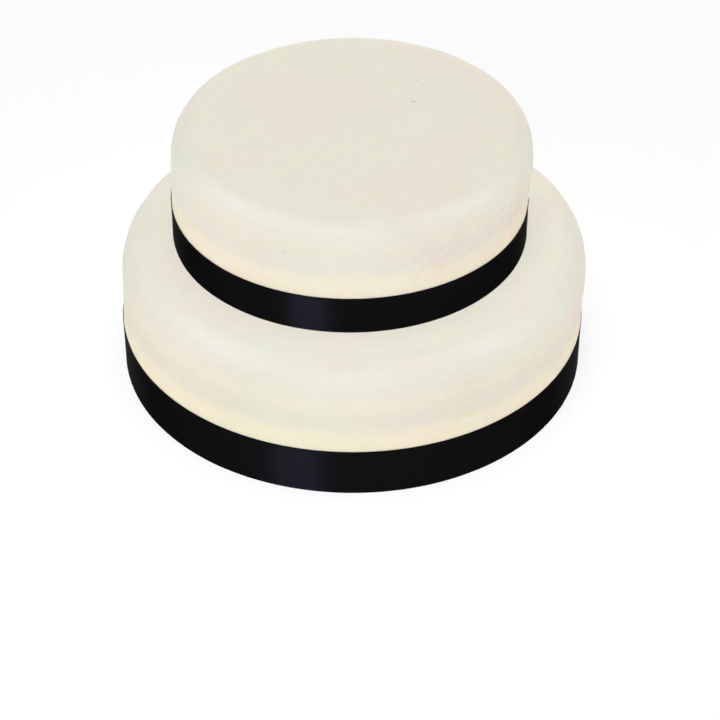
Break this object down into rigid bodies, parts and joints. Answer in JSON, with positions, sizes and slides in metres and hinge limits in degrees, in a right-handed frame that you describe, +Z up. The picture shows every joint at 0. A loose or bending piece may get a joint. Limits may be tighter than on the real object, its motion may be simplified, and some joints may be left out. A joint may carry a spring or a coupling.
{
  "type": "two-tier cake",
  "caption": "Uncut round two-tier cake in smooth ivory sugar paste, with a black satin ribbon round the foot of each tier.",
  "frame": {"origin": "middle of the lower tier's underside, on the surface that the cake stands on", "axes": "+Z up; -Y is the side that faces the viewer, and the ribbons' lapped ends are at +Y; +X to the viewer's right"},
  "size_m": [0.2603, 0.26, 0.1483],
  "materials": {
    "sugar_paste": "smooth rolled sugar paste, satin, ivory",
    "satin_ribbon": "black satin ribbon with a soft sheen"
  },
  "bodies": {
    "root": {"lower_tier": "sugar_paste", "upper_tier": "sugar_paste", "lower_ribbon": "satin_ribbon", "upper_ribbon": "satin_ribbon"}
  },
  "joints": []
}
